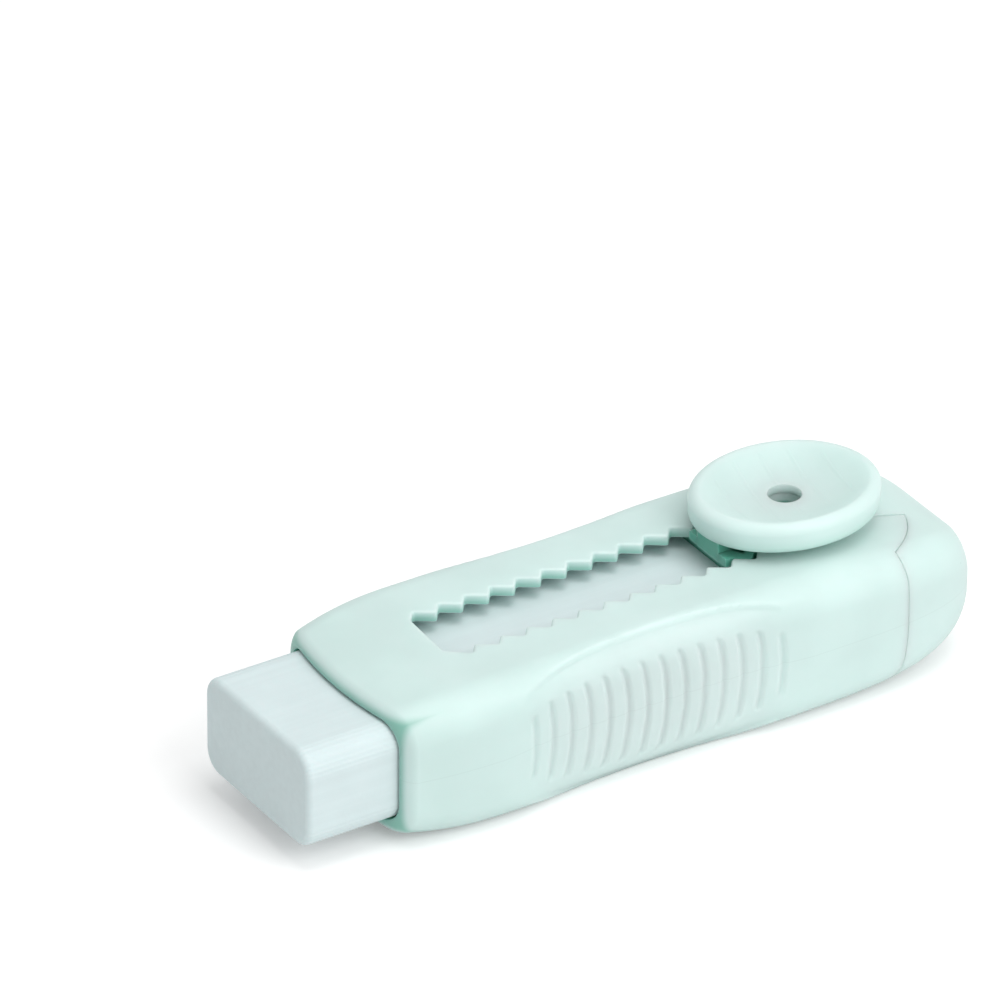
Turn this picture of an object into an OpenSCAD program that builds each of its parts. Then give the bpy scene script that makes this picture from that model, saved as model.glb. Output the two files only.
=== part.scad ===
// Slide eraser: a moulded sleeve with a toothed slot, a slider that pushes the
// eraser block out of the mouth click by click, and a cap that closes the back.
// Millimetres. X runs along the holder, mouth at -X; the flat base lies on Z = 0.

/* [Eraser block] */
// Width of the block
block_w = 24; // [20:0.1:28]
// Height of the block
block_h = 13.6; // [10:0.1:17]
// Length of a new block
block_len = 66.8; // [50:0.1:75]
// Radius of the block's long edges
block_r = 3; // [1.5:0.1:4.5]

/* [Sleeve] */
// Wall above and below the cavity
wall_flat = 1.4; // [1:0.05:2]
// Wall at the sides, behind the grips
wall_side = 1.85; // [1.7:0.05:2.6]
// Radius of the long outer edges
edge_r = 4.5; // [3.4:0.1:5.5]
// Clearance between the mouth and the block
// How much of the rounded underside is cut off to make the flat base
base_cut = 0.05; // [0:0.01:0.3]
mouth_gap = 0.3; // [0.2:0.05:0.5]
// Length of the thick lip that guides the block
lip_len = 8.9; // [6:0.1:10]
// How much narrower the sleeve is at the mouth, each side
mouth_taper = 1.4; // [0.4:0.1:1.6]
// Length over which the sleeve narrows towards the mouth
taper_len = 15.9; // [8:0.1:20]
// How far the middle of the mouth stands ahead of its sides
mouth_bow = 2.3; // [0.5:0.1:3]
// Rounding of the mouth's outer rim
rim_r = 1.3; // [0.4:0.1:1.4]
// Distance from the slot's last tooth to the back of the cap
tail_len = 18.7; // [17:0.1:26]
// Length of the round back end in plan
back_round_len = 25.7; // [20:0.1:30]
// Length over which the top and base close in at the back
back_slope_len = 35; // [26:0.1:40]

/* [Slot] */
// Distance from the mouth to the slot
slot_from_mouth = 13.1; // [12:0.1:16]
// Spacing of the notches
notch_pitch = 3.77; // [3.5:0.01:4.2]
// Number of notches on each side
notch_count = 15; // [13:1:17]
// Notch that the springs stand in, counted from the mouth end
parked_notch = 11; // [8:1:11]
// Width of the slot between facing teeth
slot_w = 8.5; // [7.9:0.1:10]
// Depth of the notches
notch_depth = 1.65; // [1.2:0.05:2]
// Part of the pitch taken by the steep flank
steep_run = 1.5; // [1.2:0.05:1.8]
// Width of the slot's straight front end
slot_front_w = 6.4; // [5:0.1:7.5]
// Distance from the slot's front end to the first notch
notch_lead = 2.5; // [2:0.1:3]

/* [Grips] */
// Depth of the oval hollow in each side
grip_depth = 0.9; // [0.5:0.05:1]
// Half of the hollow's length
grip_half_len = 21.5; // [18:0.1:23]
// Half of the hollow's height, measured round the side
grip_half_rise = 11; // [9:0.1:12]
// Distance from the mouth to the middle of the hollow
grip_from_mouth = 37.4; // [34:0.1:42]
// Number of grooves in each grip
groove_count = 14; // [8:1:15]
// Spacing of the grooves
groove_pitch = 2.78; // [2.4:0.01:2.9]
// Radius of the cutter that makes a groove
groove_r = 0.5; // [0.4:0.01:0.8]
// Depth of a groove
groove_depth = 0.4; // [0.2:0.05:0.5]
// Radius of the curve that each groove follows
groove_bend_r = 20; // [16:0.5:40]

/* [Cap] */
// Distance from the slot's last tooth to the seam at the sides
seam_back = 4.4; // [4:0.1:6]
// Radius of the seam's bow in side view, below mid height
seam_low_r = 27; // [20:1:60]
// Radius of the seam's bow in side view, above mid height
seam_high_r = 120; // [40:5:200]
// Gap along the seam
seam_gap = 0.1; // [0.06:0.01:0.2]
// Wall of the cap
cap_wall = 1.6; // [1.2:0.1:2]
// Radius of the sleeve's rounded flap on top of the cap
flap_r = 13.6; // [12:0.1:14]
// How far the flap reaches behind the seam
flap_reach = 7.5; // [5:0.1:8]
// Thickness that the cap gives up under the flap
flap_t = 1.2; // [1:0.1:1.6]
// Width of the tongue that closes the slot, at its front
tongue_w = 6.8; // [6.5:0.1:7.6]
// How much the tongue widens towards its back, each side
tongue_flare = 0.7; // [0:0.1:1.5]
// Length of the tongue, ahead of the seam
tongue_len = 1.9; // [1:0.1:2.2]
// Length of the plug that reaches into the sleeve
plug_len = 3.5; // [2.5:0.1:4]
// Wall of the plug
plug_t = 1.3; // [1:0.1:1.6]
// Clearance of the plug in the sleeve
plug_gap = 0.12; // [0.08:0.01:0.2]

/* [Slider] */
// Thickness of the slider's cheeks beside the block
cheek_t = 1.3; // [1:0.05:1.6]
// Thickness of the slider's tray and deck
tray_t = 1.1; // [0.9:0.05:1.4]
// Thickness of the wall that pushes the block
push_t = 1.6; // [1.2:0.1:2.2]
// Gap between the block and the slider around it
block_gap = 0.1; // [0.05:0.01:0.2]
// Gap between the block and the tray under it
block_lift = 0.25; // [0.15:0.05:0.4]
// Running clearance beside the cheeks
run_side = 0.35; // [0.25:0.05:0.5]
// Running clearance above the deck and under the tray
run_flat = 0.4; // [0.3:0.05:0.6]
// Reach of the tray and cheeks along the block
cup_len = 4.6; // [3:0.1:6]
// Length of the deck behind the pushing wall
deck_len = 13.5; // [12.5:0.1:14]
// Width of the deck
deck_w = 11.4; // [8:0.1:11.5]
// Width of the neck at its front
neck_w = 4.8; // [4:0.1:5]
// Width of the thin web behind the neck
web_w = 2.6; // [2:0.1:3]
// Length of the neck's wide front
neck_len = 1.8; // [1.4:0.1:2]
// Radius of the hollow post under the button
post_r = 3.1; // [2.8:0.1:3.4]
// Radius of the hole down the post and the button
post_bore_r = 2.2; // [1.8:0.1:2.3]

/* [Click springs] */
// Clearance between a spring's tooth and the notch
spring_gap = 0.2; // [0.12:0.01:0.3]
// Thickness of the bent leaf
leaf_t = 1.1; // [0.8:0.05:1.2]
// Length of the leaf behind its tooth
leaf_len = 5.2; // [3:0.1:5.3]
// Gap above and below the leaf in the slot
leaf_drop = 0.12; // [0.05:0.01:0.3]

/* [Thumb button] */
// Length of the oval button
button_len = 25.4; // [20:0.1:30]
// Width of the oval button
button_w = 21; // [16:0.1:26]
// Height of the button's rim
button_h = 3.9; // [2.8:0.05:4.5]
// Thickness of the button in the middle of its dish
button_mid_t = 2.2; // [1.6:0.05:2.4]
// Gap between the sleeve and the button
button_lift = 1.55; // [0.8:0.05:2]
// Distance from the click teeth back to the button's middle
button_back = 8.6; // [8:0.1:9]
// Depth of the socket that takes the post
socket_depth = 0.9; // [0.5:0.05:1]
// Clearance round the post in its socket
socket_gap = 0.04; // [0.02:0.01:0.1]

/* [Hidden] */

mint = [0.80, 0.93, 0.89];
pale_mint = [0.76, 0.91, 0.86];
ice = [0.84, 0.91, 0.93];

// overall sizes, built up from the block outwards
holder_w = block_w + 2 * (block_gap + cheek_t + run_side + wall_side);
holder_h = block_h + 2 * (block_lift + tray_t + run_flat + wall_flat);
notch_span = (notch_count - 1) * notch_pitch;
slot_teeth_len = notch_lead + notch_span + steep_run;
holder_len = slot_from_mouth + slot_teeth_len + tail_len;
mid_z = holder_h / 2;
half_w = holder_w / 2;

// places along X
mouth_x = -holder_len / 2;
back_x = holder_len / 2;
slot_x = mouth_x + slot_from_mouth;
notch_x = slot_x + notch_lead;
last_tip_x = notch_x + notch_span + steep_run;
seam_x = last_tip_x + seam_back;
grip_x = mouth_x + grip_from_mouth;
tooth_x = notch_x + parked_notch * notch_pitch;

// places along Z
slot_floor_z = holder_h - wall_flat;
deck_top_z = slot_floor_z - run_flat;
tray_z = wall_flat + run_flat;
block_z = tray_z + tray_t + block_lift;
button_z = holder_h + button_lift;

// the slider hangs from the click teeth; the block stands against its wall
neck_ahead = 2.8;
push_ahead = 1.5;
neck_x = tooth_x - neck_ahead;
push_x = tooth_x - push_ahead;
block_x = push_x - block_gap - block_len;
button_x = tooth_x + button_back;

arc_n = 6;
side_n = 5;
top_n = 5;
eps = 0.01;
far = 200;

// Outline of the holder at a place along X

function clamp01(v) = min(1, max(0, v));
function round_off(t, n) = pow(1 - pow(clamp01(t), n), 1 / n);
function mouth_inset(x) =
    mouth_taper * pow(clamp01(1 - (x - mouth_x) / taper_len), 2);
function rim_inset(x) =
    let (d = clamp01(1 - (x - mouth_x) / rim_r)) rim_r * (1 - sqrt(1 - d * d));
function half_width(x) =
    (half_w - mouth_inset(x) - rim_inset(x))
    * round_off(1 - (back_x - x) / back_round_len, 3.4);
function half_height(x) =
    (holder_h / 2 - mouth_inset(x) - rim_inset(x))
    * round_off(1 - (back_x - x) / back_slope_len, 2.95);
function bow_at(x, y) =
    mouth_bow * pow(y / half_w, 2) * pow(clamp01(1 - (x - mouth_x) / taper_len), 2);

// depth of the oval grip hollow at x, s round the side from mid height
function grip_at(x, s) =
    let (rho = pow(pow(abs(x - grip_x) / grip_half_len, 2.4)
                   + pow(s / grip_half_rise, 2.4), 1 / 2.4))
    grip_depth * (1 - pow(min(rho, 1), 3));

// one ring of points: rounded rectangle, with extra points along its flats
function ring(x, at, in_w, in_h, grip) =
    let (w = max(half_width(at) - in_w, 0.3),
         h = max(half_height(at) - in_h, 0.3),
         r = min(max(edge_r - in_h, 0.4), 0.94 * w, 0.94 * h),
         flat = h - r)
    [for (c = [0:3])
        each concat(
            [for (j = [0:arc_n])
                let (a = 90 * (c + j / arc_n),
                     from_side = min(abs(sin(a)), 1),
                     s = flat + r * asin(from_side) * PI / 180,
                     d = grip * grip_at(x, s),
                     cy = (c == 0 || c == 3 ? 1 : -1) * (w - r),
                     cz = (c < 2 ? 1 : -1) * flat)
                [cy + (r - d) * cos(a), cz + (r - d) * sin(a)]],
            (c == 1 || c == 3)
                ? [for (j = [1:side_n])
                    let (sy = c == 1 ? -1 : 1,
                         z = -sy * flat * (1 - 2 * j / (side_n + 1)),
                         d = grip * grip_at(x, abs(z)))
                    [sy * (w - d), z]]
                : [for (j = [1:top_n])
                    let (sz = c == 0 ? 1 : -1)
                    [sz * (w - r) * (1 - 2 * j / (top_n + 1)), sz * h]])];

// solid of all rings at the places in xs, closed by a fan at each end; with
// same_at it keeps the outline of that one place and runs straight
module loft(xs, in_w = 0, in_h = 0, grip = 0, bow = 0, same_at = undef) {
    rings = [for (x = xs) [for (p = ring(x, is_undef(same_at) ? x : same_at, in_w, in_h, grip))
        [x + bow * bow_at(x, p[0]), p[0], mid_z + p[1] * (p[1] < 0 ? 1 + base_cut / mid_z : 1)]]];
    n = len(rings[0]);
    m = len(xs);
    first = m * n;
    last = m * n + 1;
    points = concat([for (r = rings) each r],
                    [[xs[0], 0, mid_z], [xs[m - 1], 0, mid_z]]);
    faces = concat(
        [for (i = [0:m - 2]) for (j = [0:n - 1])
            let (k = (j + 1) % n) each [
                [i * n + j, (i + 1) * n + j, (i + 1) * n + k],
                [i * n + j, (i + 1) * n + k, i * n + k]]],
        [for (j = [0:n - 1]) [first, j, (j + 1) % n]],
        [for (j = [0:n - 1]) [last, (m - 1) * n + (j + 1) % n, (m - 1) * n + j]]);
    polyhedron(points = points, faces = faces, convexity = 8);
}

rim_steps = [0, 0.06, 0.22, 0.5, 1];
taper_steps = [0.13, 0.25, 0.45, 0.7];
grip_steps = 24;
grip_margin = 0.35;
grip_front_x = grip_x - grip_half_len - grip_margin;
grip_back_x = grip_x + grip_half_len + grip_margin;
back_steps = [for (a = [12:10:82]) a];
back_xs = concat([for (a = back_steps) back_x - back_round_len * (1 - sin(a))], [back_x - 0.06]);
front_xs = concat(
    [for (s = rim_steps) mouth_x + s * rim_r],
    [for (s = taper_steps) mouth_x + s * (grip_front_x - mouth_x)],
    [for (i = [0:grip_steps]) grip_front_x
        + (grip_back_x - grip_front_x) * i / grip_steps]);

module outer_form() {
    intersection() {
        loft(concat(front_xs, back_xs), grip = 1, bow = 1);
        translate([-far / 2, -far / 2, 0]) cube([far, far, far]);
    }
}

module back_form() {
    loft(back_xs);
}

// rounded bar along X, seen end on
module bar_outline(w, h, r) {
    square([w - 2 * r, h], center = true);
    square([w, h - 2 * r], center = true);
    for (sy = [-1, 1]) for (sz = [-1, 1])
        translate([sy * (w / 2 - r), sz * (h / 2 - r)]) circle(r = r, $fn = 40);
}

module bar(x0, x1, w, h, r) {
    translate([x0, 0, mid_z]) rotate([90, 0, 90])
        linear_extrude(height = x1 - x0) bar_outline(w, h, r);
}

// Slot

tip_y = slot_w / 2;
notch_y = tip_y + notch_depth;
channel_y = tongue_w / 2 + seam_gap;
flap_x = seam_x + flap_reach - flap_r;
tip_round = 0.3;

// points of one side of the slot, from its front end to the open back
function slot_side() = concat(
    [[slot_x, slot_front_w / 2]],
    [for (k = [0:notch_count - 1])
        let (rx = notch_x + k * notch_pitch, tx = rx + steep_run) each [
            [rx, notch_y],
            [tx - tip_round, tip_y + tip_round * notch_depth / steep_run],
            [tx, tip_y + 0.1 * tip_round],
            [tx + tip_round, tip_y + tip_round / 2]]],
    [[last_tip_x + tip_y - channel_y + 2 * tip_round, channel_y],
     [seam_x, channel_y],
     [seam_x + flap_reach, channel_y + tongue_flare],
     [back_x, channel_y + tongue_flare]]);

module slot() {
    half = slot_side();
    n = len(half);
    translate([0, 0, mid_z]) linear_extrude(height = holder_h)
        polygon(concat(half, [for (i = [0:n - 1]) [half[n - 1 - i][0], -half[n - 1 - i][1]]]));
}

// Grip grooves

groove_inset = 1.8;
groove_reach = 7;

// round-bottomed channel, open towards +Y
module groove_outline() {
    polygon(concat([for (a = [180:30:360]) groove_r * [cos(a), sin(a)]],
                   [[groove_r, 2], [-groove_r, 2]]));
}

module groove(x) {
    reach = groove_reach * round_off(abs(x - grip_x) / (grip_half_len - groove_inset), 2.6);
    swing = asin(min(0.9, reach / groove_bend_r));
    groove_y = half_w - grip_depth + groove_r - groove_depth;
    for (sy = [-1, 1])
        translate([x - groove_bend_r, sy * groove_y, mid_z])
            rotate([90, swing, 0])
                rotate_extrude(angle = 2 * swing, $fn = 80)
                    translate([groove_bend_r, 0]) scale([1, -sy]) groove_outline();
}

module grooves() {
    for (i = [0:groove_count - 1])
        groove(grip_x + (i - (groove_count - 1) / 2) * groove_pitch);
}

// Seam between sleeve and cap

seam_steps = 12;
function seam_at(z) =
    seam_x - pow(z - mid_z, 2) / (2 * (z < mid_z ? seam_low_r : seam_high_r));

module seam_form(grow) {
    zs = [for (i = [-1:seam_steps + 1]) holder_h * i / seam_steps];
    translate([0, far / 2, 0]) rotate([90, 0, 0]) linear_extrude(height = far)
        polygon(concat([for (z = zs) [seam_at(z) + grow, z]],
                       [[-far, holder_h * (seam_steps + 1) / seam_steps],
                        [-far, -holder_h / seam_steps]]));
}

flap_z = deck_top_z - 0.7;

// the sleeve's round flap, which the slot opens in the middle for the tongue
module flap(grow) {
    translate([flap_x, 0, flap_z - grow]) intersection() {
        cylinder(r = flap_r + grow, h = holder_h, $fn = 120);
        translate([seam_x - tongue_len - flap_x, -far / 2, 0]) cube([far, far, far]);
    }
}

module tongue_outline(grow) {
    front = seam_x - tongue_len;
    half = tongue_w / 2 + grow;
    polygon([[front - grow, -half], [front - grow, half], [seam_x, half],
             [seam_x + flap_reach, half + tongue_flare], [back_x, half + tongue_flare],
             [back_x, -half - tongue_flare], [seam_x + flap_reach, -half - tongue_flare],
             [seam_x, -half]]);
}

// places behind the seam where the cavity's section is taken
cavity_steps = [-12, -6, -2, 1, 4, 6, 8];

module cavity() {
    loft(concat([mouth_x + lip_len, mouth_x + taper_len, grip_back_x],
                [for (s = cavity_steps) seam_x + s]), wall_side, wall_flat);
}

module sleeve() {
    color(mint) difference() {
        intersection() {
            outer_form();
            union() {
                seam_form(0);
                flap(0);
            }
        }
        bar(mouth_x - 5, mouth_x + lip_len + eps, block_w + 2 * mouth_gap,
            block_h + 2 * mouth_gap, block_r + mouth_gap);
        cavity();
        slot();
        grooves();
    }
}

cap_in_x = seam_x - plug_len;
shoulder_len = 2.5;
hollow_steps = [0, 0.35, 0.6, 0.8, 0.92, 1];

module end_cap() {
    color(mint) difference() {
        union() {
            difference() {
                union() {
                    difference() {
                        back_form();
                        seam_form(seam_gap);
                    }
                    // the plug runs straight so that it can be pulled out
                    loft([cap_in_x, seam_x + shoulder_len], wall_side + plug_gap,
                         wall_flat + plug_gap, same_at = seam_x);
                }
                flap(seam_gap);
                // the plug's top passes under the flap
                translate([cap_in_x - 1, -far / 2, flap_z - seam_gap])
                    cube([plug_len + 1, far, far]);
            }
            intersection() {
                back_form();
                translate([0, 0, flap_z - plug_t / 2]) linear_extrude(height = holder_h)
                    tongue_outline(0);
            }
        }
        translate([cap_in_x - 1, -tongue_w / 2 - 1, flap_z - plug_t])
            cube([plug_len - tongue_len + 1, tongue_w + 2, far]);
        loft([cap_in_x - 1, seam_x + shoulder_len], wall_side + plug_gap + plug_t,
             wall_flat + plug_gap + plug_t, same_at = seam_x);
        loft([for (s = hollow_steps) seam_x + shoulder_len - eps
              + s * (back_x - cap_wall - seam_x - shoulder_len)], cap_wall, cap_wall + flap_t);
    }
}

module box(x0, x1, y0, y1, z0, z1) {
    translate([x0, y0, z0]) cube([x1 - x0, y1 - y0, z1 - z0]);
}

cheek_in = block_w / 2 + block_gap;
cheek_out = cheek_in + cheek_t;
cup_x = push_x - cup_len;
deck_x = push_x + deck_len;
deck_z = deck_top_z - tray_t;
cheek_top = block_z + block_h - block_r;
post_top_z = button_z + socket_depth;

cup_r = edge_r - wall_flat;
cup_h = deck_top_z - tray_z;

// section of the cup round the block's end
module cup_outline() {
    translate([0, tray_z + cup_h / 2 - mid_z]) bar_outline(2 * cheek_out, cup_h, cup_r);
}

module slider() {
    color(pale_mint) difference() {
        union() {
            // wall behind the block
            translate([push_x, 0, mid_z]) rotate([90, 0, 90])
                linear_extrude(height = push_t) cup_outline();
            // tray under the block and a cheek each side
            translate([cup_x, 0, mid_z]) rotate([90, 0, 90])
                linear_extrude(height = cup_len + eps) difference() {
                    cup_outline();
                    translate([0, block_z - mid_z - block_lift + holder_h / 2])
                        square([2 * cheek_in, holder_h], center = true);
                    translate([-half_w, cheek_top - mid_z]) square([holder_w, holder_h]);
                }
            // deck under the slot, with a rib at each side
            box(push_x + eps, deck_x, -deck_w / 2, deck_w / 2, deck_z, deck_top_z);
            for (sy = [-1, 1])
                translate([push_x + push_t - eps, sy * (deck_w / 2 - tray_t / 2) + tray_t / 2, deck_z + eps])
                    rotate([90, 0, 0]) linear_extrude(height = tray_t)
                        polygon([[0, 0], [deck_len - push_t - 1, 0], [0, tray_z - deck_z]]);
            // neck, web and hollow post through the slot
            box(neck_x, neck_x + neck_len, -neck_w / 2, neck_w / 2, slot_floor_z, button_z);
            box(push_x, neck_x + neck_len, -neck_w / 2, neck_w / 2, deck_z, slot_floor_z + eps);
            box(neck_x + neck_len - eps, button_x, -web_w / 2, web_w / 2, deck_z, button_z);
            translate([button_x, 0, deck_z])
                cylinder(r = post_r, h = post_top_z - deck_z, $fn = 64);
        }
        translate([button_x, 0, deck_z - 1])
            cylinder(r = post_bore_r, h = far, $fn = 48);
    }
}

// Bent leaf with a tooth that stands in a notch, lying beside the neck
leaf_z = slot_floor_z + leaf_drop;
leaf_h = wall_flat - 2 * leaf_drop;
root_y = neck_w / 2;
leaf_y = tip_y - spring_gap;
tooth_y = notch_y - 2 * spring_gap;
long_run = notch_pitch - steep_run;
long_fall = (notch_depth - tip_round / 2) / (long_run - tip_round);
steep_fall = notch_depth / steep_run - 0.05;
long_gap = spring_gap * sqrt(1 + pow(long_fall, 2));
steep_gap = spring_gap * sqrt(1 + pow(steep_fall, 2));

module click_spring(sy) {
    tooth_front = (tooth_y - notch_y + long_gap) / long_fall;
    tooth_back = (notch_y - steep_gap - tooth_y) / steep_fall;
    foot_front = (leaf_y - notch_y + long_gap) / long_fall;
    foot_back = (notch_y - steep_gap - leaf_y) / steep_fall;
    outline = [
        [-neck_ahead, root_y],
        [-neck_ahead, leaf_y],
        [foot_front, leaf_y],
        [tooth_front, tooth_y],
        [tooth_back, tooth_y],
        [foot_back, leaf_y],
        [leaf_len, leaf_y - 0.2],
        [leaf_len, leaf_y - 0.2 - leaf_t],
        [foot_back - leaf_t / 3, leaf_y - leaf_t],
        [tooth_front, tooth_y - 1.3 * leaf_t],
        [neck_len - neck_ahead, root_y]];
    translate([tooth_x, 0, leaf_z]) linear_extrude(height = leaf_h)
        polygon([for (p = outline) [p[0], sy * p[1]]]);
}

module near_click_spring() {
    color(pale_mint) click_spring(-1);
}

module far_click_spring() {
    color(pale_mint) click_spring(1);
}

// half section of the button: distance from the middle as a share of the half
// width, and height above the underside
rim_y = 0.8;
function dish(s) = button_mid_t + (button_h - button_mid_t) * pow(sin(90 * min(s / rim_y, 1)), 2.2);
button_profile = concat(
    [[0.5, 0], [0.94, 0], [0.975, 0.35], [0.995, 0.9], [1, 1.35]],
    [for (a = [22.5:22.5:90]) [rim_y + (1 - rim_y) * cos(a), 1.35 + (button_h - 1.35) * sin(a)]],
    [for (i = [1:6]) [rim_y - i / 10, dish(rim_y - i / 10)]]);

// solid of oval rings, one for each point of the half section
module oval(profile, len, wid) {
    turns = 72;
    m = len(profile);
    points = concat(
        [for (p = profile) for (t = [0:turns - 1])
            [p[0] * len / 2 * cos(360 * t / turns), p[0] * wid / 2 * sin(360 * t / turns), p[1]]],
        [[0, 0, profile[0][1]], [0, 0, profile[m - 1][1]]]);
    faces = concat(
        [for (i = [0:m - 2]) for (j = [0:turns - 1])
            let (k = (j + 1) % turns) each [
                [i * turns + j, (i + 1) * turns + j, (i + 1) * turns + k],
                [i * turns + j, (i + 1) * turns + k, i * turns + k]]],
        [for (j = [0:turns - 1]) [m * turns, j, (j + 1) % turns]],
        [for (j = [0:turns - 1]) [m * turns + 1, (m - 1) * turns + (j + 1) % turns,
                                  (m - 1) * turns + j]]);
    polyhedron(points = points, faces = faces, convexity = 4);
}

module thumb_button() {
    color(mint) translate([button_x, 0, button_z]) difference() {
        oval(button_profile, button_len, button_w);
        translate([0, 0, -1])
            cylinder(r = post_bore_r, h = far, $fn = 48);
        translate([0, 0, -1])
            cylinder(r = post_r + socket_gap, h = socket_depth + 1, $fn = 64);
    }
}

module eraser_block() {
    color(ice) bar(block_x, block_x + block_len, block_w, block_h, block_r);
}

sleeve();
end_cap();
slider();
near_click_spring();
far_click_spring();
thumb_button();
eraser_block();
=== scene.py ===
import math

import bmesh
import bpy
from mathutils import Matrix, Vector


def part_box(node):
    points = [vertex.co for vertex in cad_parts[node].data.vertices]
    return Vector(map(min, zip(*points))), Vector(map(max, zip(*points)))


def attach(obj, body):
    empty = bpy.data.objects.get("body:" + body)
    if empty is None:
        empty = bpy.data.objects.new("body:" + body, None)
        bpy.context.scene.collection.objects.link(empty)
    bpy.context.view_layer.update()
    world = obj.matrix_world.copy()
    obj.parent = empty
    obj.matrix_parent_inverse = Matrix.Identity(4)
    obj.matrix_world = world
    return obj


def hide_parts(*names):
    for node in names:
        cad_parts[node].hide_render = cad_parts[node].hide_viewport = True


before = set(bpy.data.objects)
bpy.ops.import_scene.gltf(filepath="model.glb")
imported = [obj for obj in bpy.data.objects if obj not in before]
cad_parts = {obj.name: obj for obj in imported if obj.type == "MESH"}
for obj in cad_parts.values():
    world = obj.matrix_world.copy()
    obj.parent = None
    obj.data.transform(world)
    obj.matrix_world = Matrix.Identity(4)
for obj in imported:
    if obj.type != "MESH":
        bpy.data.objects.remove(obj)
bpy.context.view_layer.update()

mm = 0.001  # the shapes below are worked out in millimetres, as the CAD is
sceneRoot = bpy.context.scene.collection


def boxInMm(node):
    low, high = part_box(node)
    return Vector(low) / mm, Vector(high) / mm


# Places that come from the frame

sleeveLow, sleeveHigh = boxInMm("sleeve")
blockLow, blockHigh = boxInMm("eraser_block")
buttonLow, buttonHigh = boxInMm("thumb_button")
springLow, springHigh = boxInMm("far_click_spring")
blockHalf = (blockHigh - blockLow) / 2
buttonMiddle, buttonHalf = (buttonLow + buttonHigh) / 2, (buttonHigh - buttonLow) / 2
mouthX, backX = sleeveLow.x, -sleeveLow.x  # the middle lies halfway between the holder's ends
halfW = sleeveHigh.y
topZ = sleeveHigh.z
midZ = topZ / 2

holder = {
    "edgeR": 4.5,            # long outer edges
    "leastR": 0.4,
    "roundShare": 0.94,      # of a side that its corners take at most
    "mouthTaper": 1.4,       # narrowing at the mouth, each side
    "taperLen": 15.9,
    "mouthBow": 2.3,         # the middle of the mouth stands ahead of its sides
    "rimR": 1.4,
    "rimLandR": 0.15,
    "backRound": 25.7,       # round end in plan
    "backRoundPower": 3.4,
    "backSlope": 35.0,       # closing in of top and base
    "backSlopePower": 2.95,
    "wallSide": 1.85,
    "wallFlat": 1.4,
    "lipLen": 8.9,
    "mouthGap": 0.3,
    "boreR": 3.3,
    "seamX": 29.99,
    "seamLowR": 27.0,        # bow of the seam below and above mid height
    "seamHighR": 120.0,
    "seamGap": 0.04,
    "seamEdgeR": 0.15,
    "flapX": 23.89,          # round flap over the cap
    "flapR": 13.6,
    "flapZ": 17.4,
    "flapSlotHalfW": 3.4,    # the slot takes the middle of the flap away
}

grip = {
    "x": -6.89,
    "halfLen": 22.5,
    "halfRise": 10.9,
    "depth": 0.55,
    "depthPower": 3,
    "ovalPower": 2.4,
    "stepDepth": 0.6,        # small step down into the hollow
    "stepW": 0.75,
    "stepFadeFrom": 13.0,
    "stepFadeLen": 10.0,
    "count": 14,
    "pitch": 2.78,
    "grooveShift": 0.37,
    "grooveHalfW": 0.78,
    "grooveDepth": 0.3,
    "grooveReach": 7.0,
    "grooveInset": 1.8,
    "reachPower": 2.6,       # the grooves get shorter towards both ends
    "grooveEndLen": 1.2,
    "bendR": 20.0,           # of the grooves, seen from the side
    "bendHalfLen": 30.0,
    "bendEaseLen": 8.0,
    "bendFadeFrom": 7.3,
    "bendFadeLen": 4.5,
}


def clamp01(v):
    return min(1.0, max(0.0, v))


def smooth01(v):
    v = clamp01(v)
    return v * v * (3 - 2 * v)


def roundOff(t, power):
    return (1 - clamp01(t) ** power) ** (1 / power)


# Share of the narrowing towards the mouth

def mouthShare(x):
    return clamp01(1 - (x - mouthX) / holder["taperLen"])


def bowAt(x, y):
    return holder["mouthBow"] * (y / halfW) ** 2 * mouthShare(x) ** 2


# A section is a half width, a half height and an edge radius

def shrink(section, inset, leastR=0.0):
    w, h, r = section
    return max(w - inset, 0.0), max(h - inset, 0.0), max(r - inset, leastR)


def sectionAt(x, inW=0.0, inH=0.0, inset=0.0):
    taper = holder["mouthTaper"] * mouthShare(x) ** 2
    w = (halfW - taper) * roundOff(1 - (backX - x) / holder["backRound"], holder["backRoundPower"])
    h = (midZ - taper) * roundOff(1 - (backX - x) / holder["backSlope"], holder["backSlopePower"])
    w, h = max(w - inW, 0.0), max(h - inH, 0.0)
    share = holder["roundShare"]
    r = min(max(holder["edgeR"] - inH, holder["leastR"]), share * w, share * h)
    return shrink((w, h, r), inset)


# Round the section: where on the flats, and which way the surface faces

def planRing(side, corner, top, bottom):
    quarter = math.pi / 2
    flats = [top, side, bottom, side]
    corners = [(1, 1), (-1, 1), (-1, -1), (1, -1)]
    plan = []
    for turn in range(4):
        (fy, fz), (ny, nz) = corners[turn], corners[(turn + 1) % 4]
        for j in range(corner):
            plan.append((fy, fz, quarter * (turn + j / corner)))
        for j in range(flats[turn]):
            t = j / flats[turn]
            plan.append((fy + (ny - fy) * t, fz + (nz - fz) * t, quarter * (turn + 1)))
    return plan


def pointOn(section, spot, dent=0.0):
    w, h, r = section
    fy, fz, facing = spot
    r -= dent
    return (fy * (w - r - dent) + r * math.cos(facing),
            midZ + fz * (h - r - dent) + r * math.sin(facing))


def wayRound(section, spot):
    h, r = section[1:]
    return abs(spot[1]) * (h - r) + r * math.asin(min(1.0, abs(math.sin(spot[2]))))


# A skin over rings of points, closed where its ends or edges meet

weld = {
    "rings": 1e-4 * mm,
    "slivers": 1e-5 * mm,
    "cuts": 1e-3 * mm,
    "spin": 1e-6,            # of a half width, as the spun shape isn't drawn out yet
}


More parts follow.
